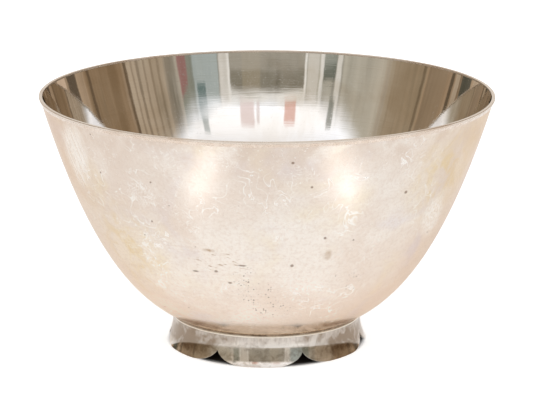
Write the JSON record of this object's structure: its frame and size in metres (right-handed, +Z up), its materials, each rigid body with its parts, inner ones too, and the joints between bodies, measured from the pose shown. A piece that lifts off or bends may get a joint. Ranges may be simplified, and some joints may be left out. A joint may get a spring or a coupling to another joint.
{
  "type": "punch bowl",
  "caption": "Deep footed silver punch bowl with a thin applied rim wire and a flared ring foot whose lower edge is cut into rounded lobes.",
  "frame": {"origin": "centre of the foot on the surface the bowl stands on", "axes": "+Z up along the bowl's axis, -Y towards the viewer's side"},
  "size_m": [0.33, 0.33, 0.1859],
  "materials": {
    "bowl_silver": "silver, lightly tarnished satin outside and polished inside",
    "rim_silver": "polished silver",
    "silver_solder": "dull tarnished silver solder",
    "collar_silver": "polished silver",
    "foot_silver": "bright silver with light tarnish"
  },
  "bodies": {
    "root": {"bowl_body": "bowl_silver", "rim_wire": "rim_silver", "rim_solder_seam": "silver_solder", "foot_collar": "collar_silver", "foot_solder_seam": "silver_solder", "foot_ring": "foot_silver"}
  },
  "joints": []
}
